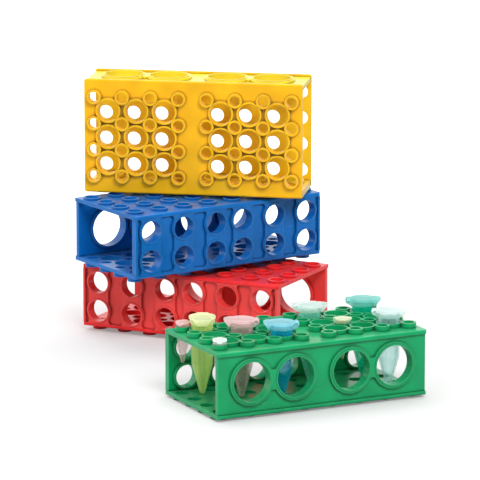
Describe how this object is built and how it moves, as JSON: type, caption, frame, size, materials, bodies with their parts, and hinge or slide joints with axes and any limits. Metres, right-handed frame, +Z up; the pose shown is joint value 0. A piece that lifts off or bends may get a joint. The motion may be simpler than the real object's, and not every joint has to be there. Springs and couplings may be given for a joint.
{
  "type": "test tube rack set",
  "caption": "Stacked open-ended four-way tube racks in four colours, one holding tinted snap-lid sample tubes that lift out and open.",
  "frame": {"origin": "on the surface the racks stand on, under the middle of the green rack", "axes": "+X along the green rack, -Y towards its side with four wide holes, +Z up"},
  "size_m": [0.2085, 0.3662, 0.2046],
  "materials": {
    "green_tube_plate_plastic": "moulded, semi-gloss",
    "green_micro_plate_plastic": "moulded, semi-gloss",
    "green_wide_side_plastic": "moulded, semi-gloss",
    "green_slim_side_plastic": "moulded, semi-gloss",
    "red_tube_plate_plastic": "moulded, semi-gloss",
    "red_micro_plate_plastic": "moulded, semi-gloss",
    "red_wide_side_plastic": "moulded, semi-gloss",
    "red_slim_side_plastic": "moulded, semi-gloss",
    "blue_tube_plate_plastic": "moulded, semi-gloss",
    "blue_micro_plate_plastic": "moulded, semi-gloss",
    "blue_wide_side_plastic": "moulded, semi-gloss",
    "blue_slim_side_plastic": "moulded, semi-gloss",
    "yellow_tube_plate_plastic": "moulded, semi-gloss",
    "yellow_micro_plate_plastic": "moulded, semi-gloss",
    "yellow_wide_side_plastic": "moulded, semi-gloss",
    "yellow_slim_side_plastic": "moulded, semi-gloss",
    "lime_tube_plastic": "moulded, translucent, glossy",
    "lime_lid_plastic": "moulded, translucent, glossy",
    "pink_tube_plastic": "moulded, translucent, glossy",
    "pink_lid_plastic": "moulded, translucent, glossy",
    "blue_tube_plastic": "moulded, translucent, glossy",
    "blue_lid_plastic": "moulded, translucent, glossy",
    "mint_tube_plastic": "moulded, translucent, glossy",
    "mint_lid_plastic": "moulded, translucent, glossy",
    "teal_tube_plastic": "moulded, translucent, glossy",
    "teal_lid_plastic": "moulded, translucent, glossy",
    "clear_tube_plastic": "moulded, translucent, glossy",
    "clear_lid_plastic": "moulded, translucent, glossy",
    "pink_vial_plastic": "moulded, translucent, glossy",
    "pink_vial_lid_plastic": "moulded, translucent, glossy",
    "white_vial_plastic": "moulded, translucent, glossy",
    "white_vial_lid_plastic": "moulded, translucent, glossy",
    "cream_vial_plastic": "moulded, translucent, glossy",
    "cream_vial_lid_plastic": "moulded, translucent, glossy"
  },
  "bodies": {
    "green": {"green_tube_plate": "green_tube_plate_plastic", "green_micro_plate": "green_micro_plate_plastic", "green_wide_side": "green_wide_side_plastic", "green_slim_side": "green_slim_side_plastic"},
    "red": {"red_tube_plate": "red_tube_plate_plastic", "red_micro_plate": "red_micro_plate_plastic", "red_wide_side": "red_wide_side_plastic", "red_slim_side": "red_slim_side_plastic"},
    "blue": {"blue_tube_plate": "blue_tube_plate_plastic", "blue_micro_plate": "blue_micro_plate_plastic", "blue_wide_side": "blue_wide_side_plastic", "blue_slim_side": "blue_slim_side_plastic"},
    "yellow": {"yellow_tube_plate": "yellow_tube_plate_plastic", "yellow_micro_plate": "yellow_micro_plate_plastic", "yellow_wide_side": "yellow_wide_side_plastic", "yellow_slim_side": "yellow_slim_side_plastic"},
    "lime_tube": {"lime_tube": "lime_tube_plastic"},
    "lime_lid": {"lime_lid": "lime_lid_plastic"},
    "pink_tube": {"pink_tube": "pink_tube_plastic"},
    "pink_lid": {"pink_lid": "pink_lid_plastic"},
    "blue_tube": {"blue_tube": "blue_tube_plastic"},
    "blue_lid": {"blue_lid": "blue_lid_plastic"},
    "mint_tube": {"mint_tube": "mint_tube_plastic"},
    "mint_lid": {"mint_lid": "mint_lid_plastic"},
    "teal_tube": {"teal_tube": "teal_tube_plastic"},
    "teal_lid": {"teal_lid": "teal_lid_plastic"},
    "clear_tube": {"clear_tube": "clear_tube_plastic"},
    "clear_lid": {"clear_lid": "clear_lid_plastic"},
    "pink_vial": {"pink_vial": "pink_vial_plastic"},
    "pink_vial_lid": {"pink_vial_lid": "pink_vial_lid_plastic"},
    "white_vial": {"white_vial": "white_vial_plastic"},
    "white_vial_lid": {"white_vial_lid": "white_vial_lid_plastic"},
    "cream_vial": {"cream_vial": "cream_vial_plastic"},
    "cream_vial_lid": {"cream_vial_lid": "cream_vial_lid_plastic"}
  },
  "joints": [
    {"name": "lift_red_rack", "type": "slide", "parent": "green", "child": "red", "axis": [0, 0, 1], "range_m": [0, 0.12]},
    {"name": "lift_blue_rack", "type": "slide", "parent": "red", "child": "blue", "axis": [0, 0, 1], "range_m": [0, 0.12]},
    {"name": "lift_yellow_rack", "type": "slide", "parent": "blue", "child": "yellow", "axis": [0, 0, 1], "range_m": [0, 0.12]},
    {"name": "lift_lime_tube", "type": "slide", "parent": "green", "child": "lime_tube", "axis": [0, 0, 1], "range_m": [0, 0.07]},
    {"name": "open_lime_lid", "type": "hinge", "parent": "lime_tube", "child": "lime_lid", "pos_m": [-0.0618, 0.03268, 0.06285], "axis": [-0.8988, 0.4384, 0], "range_deg": [0, 100]},
    {"name": "lift_pink_tube", "type": "slide", "parent": "green", "child": "pink_tube", "axis": [0, 0, 1], "range_m": [0, 0.07]},
    {"name": "open_pink_lid", "type": "hinge", "parent": "pink_tube", "child": "pink_lid", "pos_m": [-0.03332, -0.0057, 0.06285], "axis": [0.4384, 0.8988, 0], "range_deg": [0, 100]},
    {"name": "lift_blue_tube", "type": "slide", "parent": "green", "child": "blue_tube", "axis": [0, 0, 1], "range_m": [0, 0.07]},
    {"name": "open_blue_lid", "type": "hinge", "parent": "blue_tube", "child": "blue_lid", "pos_m": [-0.01082, -0.0267, 0.06285], "axis": [0.4384, 0.8988, 0], "range_deg": [0, 100]},
    {"name": "lift_mint_tube", "type": "slide", "parent": "green", "child": "mint_tube", "axis": [0, 0, 1], "range_m": [0, 0.07]},
    {"name": "open_mint_lid", "type": "hinge", "parent": "mint_tube", "child": "mint_lid", "pos_m": [0.01082, 0.0267, 0.06285], "axis": [-0.4384, -0.8988, 0], "range_deg": [0, 100]},
    {"name": "lift_teal_tube", "type": "slide", "parent": "green", "child": "teal_tube", "axis": [0, 0, 1], "range_m": [0, 0.07]},
    {"name": "open_teal_lid", "type": "hinge", "parent": "teal_tube", "child": "teal_lid", "pos_m": [0.05582, 0.0267, 0.06285], "axis": [-0.4384, -0.8988, 0], "range_deg": [0, 100]},
    {"name": "lift_clear_tube", "type": "slide", "parent": "green", "child": "clear_tube", "axis": [0, 0, 1], "range_m": [0, 0.07]},
    {"name": "open_clear_lid", "type": "hinge", "parent": "clear_tube", "child": "clear_lid", "pos_m": [0.05582, -0.0153, 0.06285], "axis": [-0.4384, -0.8988, 0], "range_deg": [0, 100]},
    {"name": "lift_pink_vial", "type": "slide", "parent": "green", "child": "pink_vial", "axis": [0, 0, 1], "range_m": [0, 0.04]},
    {"name": "open_pink_vial_lid", "type": "hinge", "parent": "pink_vial", "child": "pink_vial_lid", "pos_m": [-0.07387, 0.03638, 0.0585], "axis": [-0.7071, 0.7071, 0], "range_deg": [0, 100]},
    {"name": "lift_white_vial", "type": "slide", "parent": "green", "child": "white_vial", "axis": [0, 0, 1], "range_m": [0, 0.04]},
    {"name": "open_white_vial_lid", "type": "hinge", "parent": "white_vial", "child": "white_vial_lid", "pos_m": [-0.07573, -0.0253, 0.0585], "axis": [-0.8988, 0.4384, 0], "range_deg": [0, 100]},
    {"name": "lift_cream_vial", "type": "slide", "parent": "green", "child": "cream_vial", "axis": [0, 0, 1], "range_m": [0, 0.04]},
    {"name": "open_cream_vial_lid", "type": "hinge", "parent": "cream_vial", "child": "cream_vial_lid", "pos_m": [0.02755, -0.00747, 0.0585], "axis": [-0.4384, -0.8988, 0], "range_deg": [0, 100]}
  ]
}
